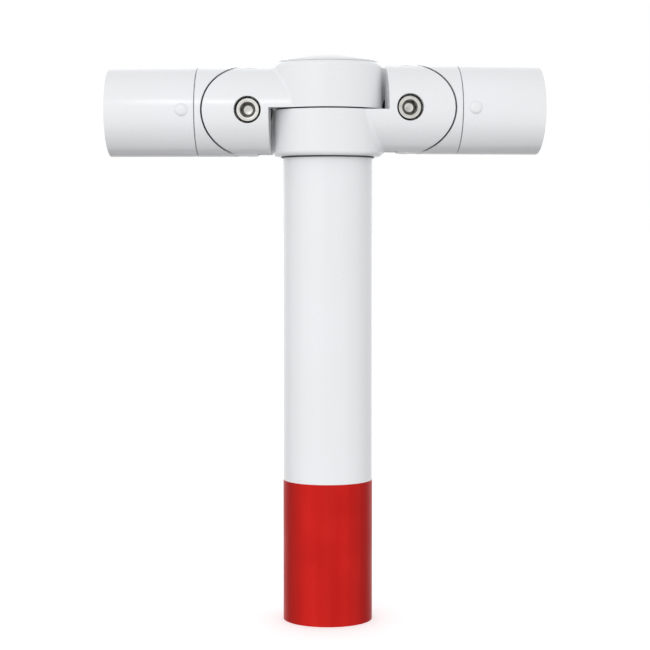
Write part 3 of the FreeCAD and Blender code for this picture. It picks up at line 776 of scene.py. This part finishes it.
def make_rivet(side):
    """Dome head rivet, its head seated on the round of the tube."""
    node = side + "_rail_rivet"
    near, far = span(node, arm_matrix(side))
    matrix = front_matrix(side, (near.x + far.x) / 2)
    least, most = span(node, matrix)
    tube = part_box("post_tube")[1].x
    seat = math.sqrt(tube ** 2 - most.x ** 2)
    rise = most.z - tube
    outline = [Vector((0, least.z)), Vector((RIVET_SHANK, least.z))]
    outline += [Vector((RIVET_SHANK, seat)), Vector((most.x, seat))]
    for step in range(RIVET_STEPS + 1):
        angle = QUARTER_TURN * step / RIVET_STEPS
        height = tube - RIVET_SINK + (rise + RIVET_SINK) * math.sin(angle)
        outline.append(Vector((most.x * math.cos(angle), height)))
    rivet = lathe(side + "_dome_rivet", outline, matrix, RIVET_SEGMENTS, closed=False)
    place(rivet, side + "_rail", "rivet_coat", RIVET_WHITE, node)


def paint(node, material):
    """Put a material on a CAD node that keeps its shape."""
    piece = frame["nodes"][node]
    piece.data.materials.clear()
    piece.data.materials.append(material)


make_post()
make_film()
make_cap()
make_slide_washer()
for side, ring in SIDES.items():
    make_liner(side, ring)
    make_set_screw(side, ring)
    make_pivot_screw(side)
    make_pivot_nut(side)
    make_friction_washers(side)
    make_pivot_bush(side)
    make_rail(side)
    make_rivet(side)
    paint(ring + "_swivel_casting", CASTING)
    paint(side + "_tube_insert", CASTING)

# ------------------------------------------------------------ floor and light

# Floor.
FLOOR_RADIUS = 60.0
FLOOR_SEGMENTS = 96
FLOOR_GREY = (0.8, 0.8, 0.8, 1)
FLOOR_GLOW = 0.34
WHITE = (1, 1, 1, 1)

# Room: brightness above and below, the heights between which it changes, and its tint.
CEILING = 0.88
FLOOR_SIDE = 0.16
HORIZON = (-0.35, 0.4)
ROOM_TINT = (0.985, 0.99, 1.0, 1)

# Walls of light: bearing from the front, height and half width in degrees, and peak.
WALLS = [
    (-38, -12, 48, 1.15),
    (-85, -5, 35, 0.5),
    (24, -20, 38, 0.95),
    (66, -28, 45, 0.85),
    (180, 0, 60, 0.85),
]

# Softbox.
STRIP_PLACE = (-0.34, -1.55, 1.03)
STRIP_AIM = (0, 0, 0.3)
STRIP_WIDTH = 0.42
STRIP_HEIGHT = 0.13
STRIP_RADIANCE = 12.0

# Camera: sensor and lens in millimetres.
SENSOR = 36.0
LENS = 99.7
CLIP = (0.05, 50)
CAMERA_PLACE = (-0.0019, -1.225, 0.2696)
CAMERA_DIP = math.radians(3.18)


def make_floor():
    """Pale plain floor that takes the object's shadow and throws no light back."""
    mesh = bpy.data.meshes.new("floor")
    made = bmesh.new()
    bmesh.ops.create_circle(made, cap_ends=True, radius=FLOOR_RADIUS, segments=FLOOR_SEGMENTS)
    made.to_mesh(mesh)
    made.free()
    floor = bpy.data.objects.new("floor", mesh)
    bpy.context.scene.collection.objects.link(floor)
    material, shader = new_material("pale_floor", Roughness=0.9, Specular_IOR_Level=0.1)
    shader.inputs["Base Color"].default_value = FLOOR_GREY
    shader.inputs["Emission Color"].default_value = WHITE
    shader.inputs["Emission Strength"].default_value = FLOOR_GLOW
    floor.data.materials.append(material)
    floor.visible_diffuse = False
    floor.visible_glossy = False


def make_strip():
    """Softbox that draws the highlight along the tubes."""
    light = bpy.data.lights.new("highlight_strip", "AREA")
    light.shape = "RECTANGLE"
    light.size = STRIP_WIDTH
    light.size_y = STRIP_HEIGHT
    light.energy = STRIP_RADIANCE * math.pi * STRIP_WIDTH * STRIP_HEIGHT
    lamp = bpy.data.objects.new("highlight_strip", light)
    lamp.location = STRIP_PLACE
    facing = Vector(STRIP_AIM) - Vector(STRIP_PLACE)
    lamp.rotation_euler = facing.to_track_quat("-Z", "Y").to_euler()
    lamp.visible_camera = False
    bpy.context.scene.collection.objects.link(lamp)


def wall_glow(world, direction, turn, rise, width, peak):
    """Soft round wall of light, as an amount to add in each direction."""
    turn = math.radians(turn)
    rise = math.radians(rise)
    level = math.cos(rise)
    aim = (math.sin(turn) * level, -math.cos(turn) * level, math.sin(rise))
    facing = add(world, "VectorMath", [(0, direction), (1, aim)], operation="DOT_PRODUCT")
    spread = (math.cos(math.radians(width)), 1.0)
    return remap(world, facing.outputs["Value"], spread, (0.0, peak), "SMOOTHSTEP")


def make_world():
    """Pale studio: light ceiling, dim floor side, soft walls of light, white to the camera."""
    world = bpy.data.worlds.new("studio")
    bpy.context.scene.world = world
    world.use_nodes = True
    world.node_tree.nodes.clear()
    direction = add(world, "TexCoord").outputs["Generated"]
    height = add(world, "SeparateXYZ", [(0, direction)]).outputs["Z"]
    total = remap(world, height, HORIZON, (FLOOR_SIDE, CEILING), "SMOOTHSTEP")
    for wall in WALLS:
        sockets = [(0, total), (1, wall_glow(world, direction, *wall))]
        total = add(world, "Math", sockets, operation="ADD").outputs[0]
    room = add(world, "Background", [("Color", ROOM_TINT), ("Strength", total)])
    sheet = add(world, "Background", [("Color", WHITE), ("Strength", 1.0)])
    eye = add(world, "LightPath").outputs["Is Camera Ray"]
    sockets = [(0, eye), (1, room.outputs[0]), (2, sheet.outputs[0])]
    shown = add(world, "MixShader", sockets).outputs[0]
    add(world, "OutputWorld", [("Surface", shown)])


def make_camera():
    """Camera at the photograph's viewing angle."""
    camera = bpy.data.cameras.new("camera")
    camera.sensor_width = SENSOR
    camera.lens = LENS
    camera.dof.use_dof = False
    camera.clip_start, camera.clip_end = CLIP
    seat = bpy.data.objects.new("camera", camera)
    seat.location = CAMERA_PLACE
    seat.rotation_euler = (QUARTER_TURN - CAMERA_DIP, 0, 0)
    bpy.context.scene.collection.objects.link(seat)
    bpy.context.scene.camera = seat


make_floor()
make_world()
make_strip()
make_camera()
bpy.context.scene.view_settings.view_transform = "Standard"
